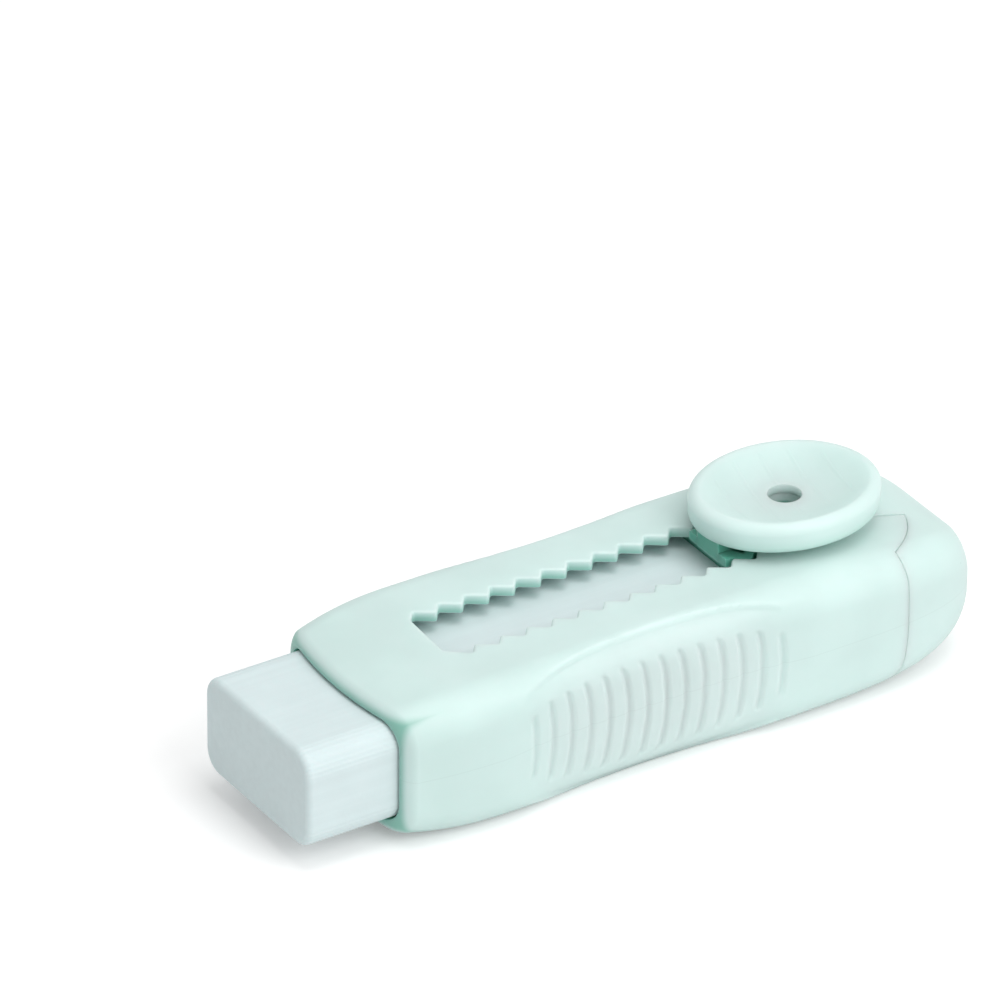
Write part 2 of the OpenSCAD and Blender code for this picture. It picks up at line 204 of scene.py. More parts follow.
def loftSkin(rings):
    across, along = len(rings[0]), len(rings) - 1
    bm = bmesh.new()
    bmesh.ops.create_grid(bm, x_segments=across, y_segments=along, size=1)
    for v in bm.verts:
        column = round((v.co.x + 1) / 2 * across) % across
        row = round((v.co.y + 1) / 2 * along)
        v.co = Vector(rings[row][column]) * mm
    bmesh.ops.remove_doubles(bm, verts=bm.verts, dist=weld["rings"])
    bmesh.ops.dissolve_degenerate(bm, edges=bm.edges, dist=weld["slivers"])
    bmesh.ops.recalc_face_normals(bm, faces=bm.faces)
    return bm


# Flat shapes: walked along corner by corner, closed, filled and drawn up

def walk(bm, start, steps):
    v = bm.verts.new((*start, 0))
    for dx, dy in steps:
        made = bmesh.ops.extrude_vert_indiv(bm, verts=[v])
        v = made["verts"][0]
        v.co += Vector((dx, dy, 0))


def vertsIn(geom):
    return [g for g in geom if isinstance(g, bmesh.types.BMVert)]


def toMetres(bm):
    bmesh.ops.scale(bm, vec=(mm, mm, mm), verts=bm.verts)
    bmesh.ops.recalc_face_normals(bm, faces=bm.faces)
    return bm


def solidOver(corners, lowZ, highZ):
    bm = bmesh.new()
    walk(bm, corners[0], [(b[0] - a[0], b[1] - a[1]) for a, b in zip(corners, corners[1:])])
    bm.edges.new([v for v in bm.verts if len(v.link_edges) == 1])
    face = bmesh.ops.contextual_create(bm, geom=bm.edges[:])["faces"][0]
    bmesh.ops.translate(bm, vec=(0, 0, lowZ), verts=bm.verts)
    raised = bmesh.ops.extrude_face_region(bm, geom=[face])["geom"]
    bmesh.ops.translate(bm, vec=(0, 0, highZ - lowZ), verts=vertsIn(raised))
    return toMetres(bm)


def makePiece(name, bm, sharpAngle=38):
    for e in bm.edges:
        e.smooth = not (e.is_manifold and e.calc_face_angle() > math.radians(sharpAngle))
    mesh = bpy.data.meshes.new(name)
    bm.to_mesh(mesh)
    bm.free()
    mesh.polygons.foreach_set("use_smooth", [True] * len(mesh.polygons))
    piece = bpy.data.objects.new(name, mesh)
    sceneRoot.objects.link(piece)
    return piece


def evenNormals(piece):
    mod = piece.modifiers.new("evenNormals", "WEIGHTED_NORMAL")
    mod.keep_sharp = True
    mod.weight = 50
    return piece


# Solid of one piece with another taken from it or joined to it

def combine(bm, tool, operation):
    base, other = makePiece("base", bm), makePiece("tool", tool)
    mod = base.modifiers.new("combine", "BOOLEAN")
    mod.operation, mod.object, mod.solver = operation, other, "EXACT"
    graph = bpy.context.evaluated_depsgraph_get()
    result = bmesh.new()
    result.from_mesh(base.evaluated_get(graph).to_mesh())
    for old in (base, other):
        mesh = old.data
        bpy.data.objects.remove(old)
        bpy.data.meshes.remove(mesh)
    bmesh.ops.remove_doubles(result, verts=result.verts, dist=weld["cuts"])
    return result


# Sleeve

ring = planRing(side=24, corner=26, top=40, bottom=12)

# Where its rings stand: from the seam over the outside to the mouth, and back along the inside

sleeveRings = {
    "rearX": grip["x"] + 24.0,   # behind it the rings lean over to the seam
    "rearShares": (0.93, 0.8, 0.65, 0.5, 0.35, 0.2, 0.08),
    "rearGap": 1.5,
    "perGroove": 12,
    "frontGap": 0.8,
    "frontStep": 0.9,
    "frontCount": 20,
    "rimGap": 0.3,
    "lipGap": 4,
    "wallGaps": (0.01, 3, 7),    # behind the lip, whose end is a square step
    "wallXs": (-14, 0),
    "wallShares": (0.25, 0.5, 0.75, 1),
}


def grooveStations():
    perGroove = sleeveRings["perGroove"]
    first = grip["x"] + grip["grooveShift"] - grip["count"] / 2 * grip["pitch"]
    return [first + i * grip["pitch"] / perGroove for i in range(grip["count"] * perGroove)]


def hollowDepth(x, s):
    power = grip["ovalPower"]
    oval = (abs((x - grip["x"]) / grip["halfLen"]) ** power + (s / grip["halfRise"]) ** power) ** (1 / power)
    inside = (1 - oval) * grip["halfRise"]
    fade = 1 - smooth01((abs(x - grip["x"]) - grip["stepFadeFrom"]) / grip["stepFadeLen"])
    step = grip["stepDepth"] * fade * smooth01(1 + inside / grip["stepW"])
    return grip["depth"] * (1 - min(oval, 1.0) ** grip["depthPower"]) + step


def grooveDepth(along, s):
    middle = (grip["count"] - 1) / 2
    grooveX = along - grip["x"] - grip["grooveShift"]
    nearest = min(grip["count"] - 1, max(0, round(grooveX / grip["pitch"] + middle)))
    centre = (nearest - middle) * grip["pitch"]
    away = abs(grooveX - centre) / grip["grooveHalfW"]
    outwards = abs(centre) / (grip["halfLen"] - grip["grooveInset"])
    reach = grip["grooveReach"] * roundOff(outwards, grip["reachPower"])
    cut = math.cos(min(away, 1.0) * math.pi / 2) ** 2
    end = smooth01((reach - s) / grip["grooveEndLen"] + 0.5)
    return grip["grooveDepth"] * cut * end


def outerPoint(along, spot):
    s = wayRound(sectionAt(along), spot)
    inGrip = smooth01((grip["bendHalfLen"] - abs(along - grip["x"])) / grip["bendEaseLen"])
    fade = 1 - smooth01((s - grip["bendFadeFrom"]) / grip["bendFadeLen"])
    x = along - s * s / (2 * grip["bendR"]) * fade * inGrip
    section = sectionAt(x)
    s = wayRound(section, spot)
    y, z = pointOn(section, spot, hollowDepth(x, s) + grooveDepth(along, s))
    return x + bowAt(x, y), y, z


def seamAt(z):
    r = holder["seamLowR"] if z < midZ else holder["seamHighR"]
    return holder["seamX"] - (z - midZ) ** 2 / (2 * r)


# Where the sleeve ends: the seam round the sides, the flap's circle on top

def flapEdge(y, grow=0.0):
    r = holder["flapR"] + grow
    y = max(abs(y), holder["flapSlotHalfW"])
    return holder["flapX"] + math.sqrt(max(r * r - y * y, 0.0))


def rearEdge(spot, z, grow=0.0):
    seam = seamAt(z) + grow
    flapY = pointOn(sectionAt(holder["seamX"]), spot)[0]
    if z > holder["flapZ"] and abs(flapY) < holder["flapR"]:
        return max(seam, flapEdge(flapY, grow))
    return seam


def rearPoint(spot, share, inW=0.0, inH=0.0, back=0.0, inset=0.0):
    z = pointOn(sectionAt(holder["seamX"], inW, inH), spot)[1]
    edge, startX = rearEdge(spot, z), sleeveRings["rearX"]
    x = startX + share * (edge - startX) - back
    y, z = pointOn(sectionAt(x, inW, inH, inset), spot)
    if inH and edge > holder["seamX"] and x > holder["seamX"]:  # the flap's underside is flat
        z = max(z, holder["flapZ"])
    return x, y, z


def bowedRing(x, section):
    points = []
    for spot in ring:
        y, z = pointOn(section, spot)
        points.append((x + bowAt(x, y), y, z))
    return points


# The mouth's opening: the block's own section with a gap all round

def boreSection(grow=0.0):
    gap = holder["mouthGap"]
    return blockHalf.y + gap + grow, blockHalf.z + gap + grow, holder["boreR"] + grow


def rimRing(turn):
    x = mouthX + holder["rimR"] * (1 - math.sin(turn))
    share = 1 - math.cos(turn)
    target = boreSection(holder["rimLandR"])
    return bowedRing(x, [a + (b - a) * share for a, b in zip(sectionAt(x), target)])


def buildSleeve():
    edgeR, land = holder["seamEdgeR"], holder["rimLandR"]
    side, flat = holder["wallSide"], holder["wallFlat"]
    rearX = sleeveRings["rearX"]
    rings = []
    for turn in (90, 60, 30, 0):  # rounded edge at the seam
        a = math.radians(turn)
        rings.append([rearPoint(spot, 1, back=edgeR * (1 - math.sin(a)), inset=edgeR * (1 - math.cos(a)))
                      for spot in ring])
    for share in sleeveRings["rearShares"]:
        rings.append([rearPoint(spot, share) for spot in ring])
    xs = [rearX, rearX - sleeveRings["rearGap"]] + sorted(grooveStations(), reverse=True)
    frontX = xs[-1] - sleeveRings["frontGap"]
    xs += [frontX - sleeveRings["frontStep"] * i for i in range(sleeveRings["frontCount"])]
    for x in xs:
        if x > mouthX + holder["rimR"] + sleeveRings["rimGap"]:
            rings.append([outerPoint(x, spot) for spot in ring])
    rings += [rimRing(math.radians(turn)) for turn in range(0, 91, 9)]
    for turn in (30, 60, 90):
        a = math.radians(turn)
        rings.append(bowedRing(mouthX + land * (1 - math.cos(a)), boreSection(land * (1 - math.sin(a)))))
    lipX = mouthX + holder["lipLen"]
    rings += [bowedRing(x, boreSection()) for x in (lipX - sleeveRings["lipGap"], lipX)]
    for x in [lipX + gap for gap in sleeveRings["wallGaps"]] + [*sleeveRings["wallXs"], rearX]:
        rings.append([(x, *pointOn(sectionAt(x, side, flat), spot)) for spot in ring])
    for share in sleeveRings["wallShares"]:
        rings.append([rearPoint(spot, share, side, flat) for spot in ring])
    rings.append(rings[0])
    return loftSkin(rings)


# Slot: both sides are walked along tooth by tooth, from the front to the cap

slot = {
    "nearFront": (-31.0, 3.6),   # front end: from one side's first point to the other's
    "farFront": (-30.6, 4.35),
    "firstTipX": -26.92,
    "count": 15,
    "pitch": 3.77,
    "steepRun": 1.3,
    "tipY": 4.3,
    "depth": 1.65,
    "channelY": 3.5,
    "channelRun": 0.6,       # how much longer than deep the last tip's slope is
    "flare": 0.7,
    "flareEndX": 37.49,
    "overrun": 1.5,
    "cornerR": 0.38,
    "rimR": 0.3,
    "flange": 0.33,
    "flangeLift": 0.002,     # the flange stands just clear of the sleeve's top
    "headroom": 1,
    "flangeRise": 1,         # the flange stands more than this above mid height
    "downward": -0.7,        # faces with less upward normals look down
    "near": 0.1,
}
slot["slowRun"] = slot["pitch"] - slot["steepRun"]
slot["notchY"] = slot["tipY"] + slot["depth"]


# Where the slot's wall meets the underside of the cutter's flange

def isSlotRim(edge):
    lows = sorted(min(v.co.z for v in f.verts) for f in edge.link_faces)
    wallEnds, flangeStands = lows[0] < midZ + slot["near"], lows[1] > midZ + slot["flangeRise"]
    return wallEnds and flangeStands and min(f.normal.z for f in edge.link_faces) < slot["downward"]


# The two sides lean the same way: steep flanks ahead of the near tips and behind the far ones

def toothedSide(bm, sign):
    steep, slow = slot["steepRun"], slot["slowRun"]
    fall, rise = (slow, steep) if sign > 0 else (steep, slow)
    front = slot["farFront"] if sign > 0 else slot["nearFront"]
    steps = [(slot["firstTipX"] - fall - front[0], slot["notchY"] - front[1])]
    steps += [(fall, -slot["depth"]), (rise, slot["depth"])] * (slot["count"] - 1)
    steps.append((fall, -slot["depth"]))
    lastTipX = slot["firstTipX"] + (slot["count"] - 1) * slot["pitch"]
    drop, run = slot["tipY"] - slot["channelY"], slot["channelRun"]
    steps.append((drop + run, -drop))
    steps.append((holder["seamX"] - lastTipX - drop - run, 0))
    steps.append((slot["flareEndX"] - holder["seamX"], slot["flare"]))
    steps.append((slot["overrun"], 0))
    walk(bm, (front[0], sign * front[1]), [(dx, sign * dy) for dx, dy in steps])


def buildSlotCutter():
    bm = bmesh.new()
    toothedSide(bm, 1)
    toothedSide(bm, -1)
    aheadOfCap = holder["seamX"] - slot["near"]
    inner = [v for v in bm.verts if len(v.link_edges) == 2 and v.co.x < aheadOfCap]
    bmesh.ops.bevel(bm, geom=inner, offset=slot["cornerR"], offset_type="OFFSET", segments=3,
                    profile=0.5, affect="VERTICES", material=-1)
    ends = [v for v in bm.verts if len(v.link_edges) == 1]
    for isBack in (False, True):
        bm.edges.new([v for v in ends if (v.co.x > 0) == isBack])
    face = bmesh.ops.contextual_create(bm, geom=bm.edges[:])["faces"][0]
    bm.normal_update()
    if face.normal.z < 0:
        face.normal_flip()
    for v in bm.verts:
        v.co.z = midZ
    raised = bmesh.ops.extrude_face_region(bm, geom=[face])["geom"]
    for v in vertsIn(raised):
        v.co.z = midZ + sectionAt(v.co.x)[1] + slot["flangeLift"]
    top = [g for g in raised if isinstance(g, bmesh.types.BMFace)]
    bmesh.ops.inset_region(bm, faces=top, thickness=-slot["flange"], use_boundary=True,
                           use_even_offset=True)
    lifted = bmesh.ops.extrude_face_region(bm, geom=top)["geom"]
    bmesh.ops.delete(bm, geom=top, context="FACES_ONLY")
    for v in vertsIn(lifted):
        v.co.z = topZ + slot["headroom"]
    bmesh.ops.recalc_face_normals(bm, faces=bm.faces)
    rim = [e for e in bm.edges if isSlotRim(e)]
    bmesh.ops.bevel(bm, geom=rim, offset=slot["rimR"], offset_type="OFFSET", segments=4,
                    profile=0.5, affect="EDGES", clamp_overlap=False, material=-1)
    return toMetres(bm)


# Far click spring, with its tooth turned to fit the far notches

spring = {
    "gap": 0.2,
    "leafT": 1.1,
    "elbowShare": 1.3,       # of the leaf's thickness, behind its tooth
    "footShare": 1 / 3,
    "tailDrop": 0.2,         # the leaf's tail stands clear of the tips
    "toothDrop": 0.4,
    "rootLen": 1.8,
    "tipsAhead": 10,
}


def buildFarSpring():
    steep, slow, bottomY = slot["steepRun"], slot["slowRun"], slot["notchY"]
    bottomX = slot["firstTipX"] + spring["tipsAhead"] * slot["pitch"] + steep
    leafT, leafY = spring["leafT"], slot["tipY"] - spring["gap"]
    toothY, tailY = bottomY - spring["toothDrop"], leafY - spring["tailDrop"]

    def flankX(y, run, side):
        lean = run / slot["depth"]
        return bottomX - side * ((bottomY - y) * lean - spring["gap"] * math.hypot(1, lean))

    toothFront, footBack = flankX(toothY, steep, 1), flankX(leafY, slow, -1)
    corners = [(springLow.x, springLow.y), (springLow.x, leafY), (flankX(leafY, steep, 1), leafY),
               (toothFront, toothY), (flankX(toothY, slow, -1), toothY), (footBack, leafY),
               (springHigh.x, tailY), (springHigh.x, tailY - leafT),
               (footBack - spring["footShare"] * leafT, leafY - leafT),
               (toothFront, toothY - spring["elbowShare"] * leafT),
               (springLow.x + spring["rootLen"], springLow.y)]
    return solidOver(corners, springLow.z, springHigh.z)


# Cap: a closed round end, cut at the seam and hollowed

cap = {
    "bodyX": 22.0,           # where the uncut round end starts
    "endGaps": (0.06, 0.03, 0.012, 0.004, 0.001),
    "wall": 1.6,
    "recessDrop": 1.2,
    "hollowStart": 1,        # ahead of the seam
    "hollowShares": (0, 0.2, 0.35, 0.5, 0.6, 0.7, 0.8, 0.87, 0.93, 0.97, 1),
    "tongueHalfW": 3.4,
    "tongueFrontX": 28.09,
    "tongueZ": 16.75,
    "tongueFlare": 0.7,
    "plugFrontX": 26.49,
    "plugT": 1.3,
    "plugGap": 0.12,
    "plugSoft": 0.3,
    "plugLeastR": 0.3,
    "plugTopGap": 0.02,
    "shoulderLen": 2.5,
}

# What is cut away ahead of the cap

seamCut = {
    "frontX": 12.0,
    "floorInsets": (6.0, 4.0, 2.6),
    "rimDepth": 1.4,         # how far in its floor meets its turned edge
    "flapFrom": 0.05,
    "outsets": (0.5, 5.0),
    "leastR": 0.1,
}


def capRing(x, inW=0.0, inH=0.0):
    return [(x, *pointOn(sectionAt(x, inW, inH), spot)) for spot in ring]


def poleRing(x):
    return [(x, 0, midZ)] * len(ring)


def buildCapBody():
    rings = [poleRing(cap["bodyX"])]
    for turn in range(0, 84, 3):
        rings.append(capRing(backX - (backX - cap["bodyX"]) * (1 - math.sin(math.radians(turn)))))
    rings += [capRing(backX - gap) for gap in cap["endGaps"]]
    rings.append(poleRing(backX))
    return loftSkin(rings)


def cutPoint(spot, back, inset):
    z = pointOn(sectionAt(holder["seamX"]), spot)[1]
    x = rearEdge(spot, z, holder["seamGap"]) + back
    return x, *pointOn(shrink(sectionAt(x), inset, seamCut["leastR"]), spot)


# Everything ahead of the cap, with its edge turned over so that the cut leaves the cap's rim round

def buildSeamCutter():
    gap, edgeR, flapZ = holder["seamGap"], holder["seamEdgeR"], holder["flapZ"]
    rings = [poleRing(holder["seamX"] + gap)]
    for inset in seamCut["floorInsets"]:
        points = []
        for spot in ring:
            y, z = pointOn(sectionAt(holder["seamX"], inset=inset), spot)
            points.append((seamAt(z) + gap, y, min(z, flapZ - gap)))
        rings.append(points)
    floor, wall = [], []
    for spot in ring:
        edgeX, y, z = cutPoint(spot, 0, 0)
        onFlap = z > flapZ and edgeX > seamAt(z) + gap + seamCut["flapFrom"]
        if onFlap:
            z = flapZ - gap
        else:
            y, z = cutPoint(spot, 0, seamCut["rimDepth"])[1:]
        floor.append((seamAt(z) + gap, y, z))
        wall.append((edgeX if onFlap else seamAt(z) + gap, y, z))
    rings += [floor, wall]
    for turn in (0, 30, 60, 90):
        a = math.radians(turn)
        rings.append([cutPoint(spot, edgeR * (1 - math.cos(a)), edgeR * (1 - math.sin(a)))
                      for spot in ring])
    rings += [[cutPoint(spot, edgeR, -outset) for spot in ring] for outset in seamCut["outsets"]]
    rings.append([(seamCut["frontX"], *point[1:]) for point in rings[-1]])
    rings.append(poleRing(seamCut["frontX"]))
    return loftSkin(rings)


def buildTongue():
    half, wide = cap["tongueHalfW"], cap["tongueHalfW"] + cap["tongueFlare"]
    side = [(cap["tongueFrontX"], half), (holder["seamX"], half), (slot["flareEndX"], wide), (backX, wide)]
    corners = side + [(x, -y) for x, y in reversed(side)]
    return solidOver(corners, cap["tongueZ"], cap["tongueZ"] + topZ)


def buildHollow():
    inW, inH = cap["wall"], cap["wall"] + cap["recessDrop"]
    startX, endX = holder["seamX"] - cap["hollowStart"], backX - cap["wall"]
    rings = [capRing(startX + share * (endX - startX), inW, inH) for share in cap["hollowShares"]]
    return loftSkin([poleRing(startX), *rings, poleRing(endX)])


def plugRing(x, inset):
    section = sectionAt(holder["seamX"], holder["wallSide"], holder["wallFlat"])
    highest = holder["flapZ"] - holder["seamGap"] - cap["plugTopGap"]
    points = [pointOn(shrink(section, inset, cap["plugLeastR"]), spot) for spot in ring]
    return [(x, y, min(z, highest)) for y, z in points]


def buildPlug():
    frontX, endX = cap["plugFrontX"], holder["seamX"] + cap["shoulderLen"]
    outer, soft = cap["plugGap"], cap["plugSoft"]
    inner = outer + cap["plugT"]
    return loftSkin([plugRing(frontX + soft, outer), plugRing(endX, outer), plugRing(endX, inner),
                     plugRing(frontX, inner), plugRing(frontX, outer + soft),
                     plugRing(frontX + soft, outer)])


def buildCap():
    ahead = combine(buildSeamCutter(), buildTongue(), "DIFFERENCE")
    body = combine(buildCapBody(), ahead, "DIFFERENCE")
    body = combine(body, buildHollow(), "DIFFERENCE")
    return combine(body, buildPlug(), "UNION")


# Thumb button: half a section turned round, then drawn out to an oval

button = {
    "under": ((0.3, 0), (0.6, 0), (0.93, 0), (0.955, 0.05), (0.972, 0.18), (0.985, 0.5), (0.995, 0.9)),
    "sideTop": 2.5,
    "rimShare": 0.885,       # shares are of the oval's half width, here and under it
    "midT": 1.95,
    "dishPower": 2.0,
    "dishSteps": 50,
    "turnSteps": 144,
    "holeShare": 0.3,
    "holeR": 2.2,
    "socketR": 3.14,
    "socketDepth": 0.9,
}


def buttonProfile():
    high = buttonHigh.z - buttonLow.z
    rimShare, midT, sideTop = button["rimShare"], button["midT"], button["sideTop"]
    profile = list(button["under"])
    for turn in range(0, 91, 6):
        a = math.radians(turn)
        profile.append((rimShare + (1 - rimShare) * math.cos(a), sideTop + (high - sideTop) * math.sin(a)))
    steps = button["dishSteps"]
    for i in range(int(rimShare * steps) - 1, round(button["holeShare"] * steps) - 1, -1):
        s = i / steps
        profile.append((s, midT + (high - midT) * min(s / rimShare, 1) ** button["dishPower"]))
    return profile


# The spun ring's inner edge is drawn in to the round hole

def drawInHole(bm):
    halfStep = 0.5 / button["dishSteps"]
    for v in bm.verts:
        away = Vector((v.co.x - buttonMiddle.x, v.co.y - buttonMiddle.y))
        share = math.hypot(away.x / buttonHalf.x, away.y / buttonHalf.y)
        if share < button["holeShare"] + halfStep:
            away.normalize()
            v.co.x, v.co.y = buttonMiddle.xy + away * button["holeR"]


def buildButton():
    bm = bmesh.new()
    points = [bm.verts.new((s, 0, z)) for s, z in buttonProfile()]
    line = [bm.edges.new((points[i], points[(i + 1) % len(points)])) for i in range(len(points))]
    bmesh.ops.spin(bm, geom=points + line, angle=2 * math.pi, steps=button["turnSteps"], use_merge=True,
                   axis=(0, 0, 1), cent=(0, 0, 0))
    bmesh.ops.remove_doubles(bm, verts=bm.verts, dist=weld["spin"])
    bmesh.ops.scale(bm, vec=(buttonHalf.x, buttonHalf.y, 1), verts=bm.verts)
    bmesh.ops.translate(bm, vec=(buttonMiddle.x, buttonMiddle.y, buttonLow.z), verts=bm.verts)
    drawInHole(bm)
    return toMetres(bm)


# Socket in the underside for the slider's post

def buildSocket():
    bm = bmesh.new()
    bmesh.ops.create_cone(bm, cap_ends=True, segments=64, radius1=button["socketR"],
                          radius2=button["socketR"], depth=2 * button["socketDepth"])
    bmesh.ops.translate(bm, vec=(buttonMiddle.x, buttonMiddle.y, buttonLow.z), verts=bm.verts)
    return toMetres(bm)


# Eraser block

block = {
    "edgeR": 3.0,
    "faceR": 0.9,
    "faceShare": 0.6,        # of the front face, inside its last ring
    "lengthShares": (0.1, 0.3, 0.5, 0.7, 0.9, 1),
    "fluteDepth": 0.035,
    "fluteCount": 7,         # fine ridges round each long edge
}


def buildBlock():
    lift = (blockHigh.z + blockLow.z) / 2 - midZ
    plan = planRing(side=16, corner=84, top=24, bottom=8)
    soft, share = block["faceR"], block["faceShare"]
    axisZ = midZ + lift

    def blockRing(x, inset):
        section = shrink((blockHalf.y, blockHalf.z, block["edgeR"]), inset)
        points = []
        for spot in plan:
            flute = math.sin(2 * block["fluteCount"] * spot[2]) ** 2
            y, z = pointOn(section, spot, block["fluteDepth"] * flute)
            points.append((x, y, z + lift))
        return points

    rings = [[(blockLow.x, 0, axisZ)] * len(plan)]
    rings.append([(x, y * share, axisZ + (z - axisZ) * share) for x, y, z in blockRing(blockLow.x, soft)])
    for turn in range(90, -1, -10):
        a = math.radians(turn)
        rings.append(blockRing(blockLow.x + soft * (1 - math.sin(a)), soft * (1 - math.cos(a))))
    for along in block["lengthShares"]:
        rings.append(blockRing(blockLow.x + along * (blockHigh.x - blockLow.x), 0))
    rings.append([(blockHigh.x, 0, axisZ)] * len(plan))
    return loftSkin(rings)


# Shader groups: what several of the materials share

def newGroup(name, inputs, outputs):
    group = bpy.data.node_groups.new(name, "ShaderNodeTree")
    for label, kind, value in inputs:
        socket = group.interface.new_socket(name=label, in_out="INPUT", socket_type=kind)
        if value is not None:
            socket.default_value = value
    for label, kind in outputs:
        group.interface.new_socket(name=label, in_out="OUTPUT", socket_type=kind)
    return group, group.nodes.new("NodeGroupInput"), group.nodes.new("NodeGroupOutput")


def mathNode(tree, operation, *values):
    node = tree.nodes.new("ShaderNodeMath")
    node.operation = operation
    for i, value in enumerate(values):
        if isinstance(value, (int, float)):
            node.inputs[i].default_value = value
        else:
            tree.links.new(value, node.inputs[i])
    return node.outputs[0]


def rangeNode(tree, value, fromMin, fromMax, toMin=0.0, toMax=1.0):
    node = tree.nodes.new("ShaderNodeMapRange")
    node.interpolation_type = "SMOOTHSTEP"
    for label, given in (("Value", value), ("From Min", fromMin), ("From Max", fromMax),
                         ("To Min", toMin), ("To Max", toMax)):
        if isinstance(given, (int, float)):
            node.inputs[label].default_value = given
        else:
            tree.links.new(given, node.inputs[label])
    return node.outputs["Result"]


def noiseNode(tree, place, size, detail):
    node = tree.nodes.new("ShaderNodeTexNoise")
    node.inputs["Detail"].default_value = detail
    tree.links.new(place, node.inputs["Vector"])
    if isinstance(size, (int, float)):
        node.inputs["Scale"].default_value = size
    else:
        tree.links.new(size, node.inputs["Scale"])
    return node.outputs["Fac"]


def placeAlong(tree, place, axis):
    split = tree.nodes.new("ShaderNodeSeparateXYZ")
    tree.links.new(place, split.inputs[0])
    return split.outputs[axis]


# How far inside a long box a point lies: 1 inside it, 0 beyond its soft edge

def buildInsideMask():
    group, given, out = newGroup(
        "insideMask",
        [("Position", "NodeSocketVector", None), ("Half Width", "NodeSocketFloat", 0.01),
         ("Low", "NodeSocketFloat", 0.0), ("High", "NodeSocketFloat", 0.01),
         ("Soft Edge", "NodeSocketFloat", 0.001)],
        [("Mask", "NodeSocketFloat")])
    y, z = (placeAlong(group, given.outputs["Position"], axis) for axis in "YZ")
    side = mathNode(group, "SUBTRACT", mathNode(group, "ABSOLUTE", y), given.outputs["Half Width"])
    above = mathNode(group, "SUBTRACT", z, given.outputs["High"])
    below = mathNode(group, "SUBTRACT", given.outputs["Low"], z)
    beyond = mathNode(group, "MAXIMUM", mathNode(group, "MAXIMUM", side, above), below)
    mask = rangeNode(group, beyond, 0.0, given.outputs["Soft Edge"], 1.0, 0.0)
    group.links.new(mask, out.inputs["Mask"])
    return group


# The unevenness of a moulded surface: broad tone, fine grain and a few trapped specks

speckCells = 210                # to the metre
toneRange = (0.3, 0.7)          # most of the tone lies between these


def buildMouldedSkin():
    group, given, out = newGroup(
        "mouldedSkin",
        [("Position", "NodeSocketVector", None), ("Tone Size", "NodeSocketFloat", 90.0),
         ("Grain Size", "NodeSocketFloat", 2500.0), ("Speck Size", "NodeSocketFloat", 0.022),
         ("Speck Share", "NodeSocketFloat", 0.35)],
        [("Tone", "NodeSocketFloat"), ("Grain", "NodeSocketFloat"), ("Specks", "NodeSocketFloat")])
    for label, detail in (("Tone", 3), ("Grain", 2)):
        noise = noiseNode(group, given.outputs["Position"], given.outputs[label + " Size"], detail)
        group.links.new(noise, out.inputs[label])
    cells = group.nodes.new("ShaderNodeTexVoronoi")
    cells.inputs["Scale"].default_value = speckCells
    group.links.new(given.outputs["Position"], cells.inputs["Vector"])
    near = mathNode(group, "LESS_THAN", cells.outputs["Distance"], given.outputs["Speck Size"])
    lot = group.nodes.new("ShaderNodeSeparateColor")
    group.links.new(cells.outputs["Color"], lot.inputs[0])
    chosen = mathNode(group, "LESS_THAN", lot.outputs["Red"], given.outputs["Speck Share"])
    group.links.new(mathNode(group, "MULTIPLY", near, chosen), out.inputs["Specks"])
    return group


insideMask = buildInsideMask()
mouldedSkin = buildMouldedSkin()


def placeGroup(tree, group, position, **values):
    node = tree.nodes.new("ShaderNodeGroup")
    node.node_tree = group
    tree.links.new(position, node.inputs["Position"])
    for label, value in values.items():
        node.inputs[label.replace("_", " ")].default_value = value
    return node


def mixColour(tree, factor, first, second, blend="MIX"):
    node = tree.nodes.new("ShaderNodeMix")
    node.data_type = "RGBA"
    node.blend_type = blend
    for socket, value in ((node.inputs[0], factor), (node.inputs[6], first), (node.inputs[7], second)):
        if isinstance(value, tuple):
            socket.default_value = (*value, 1)
        elif isinstance(value, (int, float)):
            socket.default_value = value
        else:
            tree.links.new(value, socket)
    return node.outputs[2]


def shadeColour(tree, colour, shade):
    grey = tree.nodes.new("ShaderNodeCombineColor")
    for label in ("Red", "Green", "Blue"):
        tree.links.new(shade, grey.inputs[label])
    return mixColour(tree, 1.0, colour, grey.outputs[0], "MULTIPLY")


def startMaterial(name):
    mat = bpy.data.materials.new(name)
    mat.use_nodes = True
    tree = mat.node_tree
    place = tree.nodes.new("ShaderNodeTexCoord").outputs["Object"]
    return mat, tree, tree.nodes["Principled BSDF"], place


def bumpFrom(tree, shader, height, distance):
    bump = tree.nodes.new("ShaderNodeBump")
    bump.inputs["Distance"].default_value = distance
    tree.links.new(height, bump.inputs["Height"])
    tree.links.new(bump.outputs["Normal"], shader.inputs["Normal"])


# Light that goes in and comes out again nearby

def letLightIn(shader, share, radius, reach):
    shader.inputs["Subsurface Weight"].default_value = share
    shader.inputs["Subsurface Radius"].default_value = radius
    shader.inputs["Subsurface Scale"].default_value = reach * mm


# Materials

plastic = {
    "mint": (0.61, 0.77, 0.74),
    "paintedShadeMint": (0.15, 0.46, 0.36),   # painted shade, green like light that has come through the plastic, for hollows and shaded walls
    # painted shade, paler: mixed in on the cap's plug and the button's underside
    "shadedMint": (0.28, 0.65, 0.52),
    "speck": (0.10, 0.30, 0.24),
    "roughness": (0.43, 0.51),
    "toneSpread": 0.05,
    "grainHeight": 0.006 * mm,
    "glowShare": 0.7,
    "glowRadius": (0.85, 1.0, 0.95),
    "lineHalfW": 0.02 * mm,   # the mould's parting line
    "lineFadeTo": 0.1 * mm,
    "lineShade": 0.95,
}


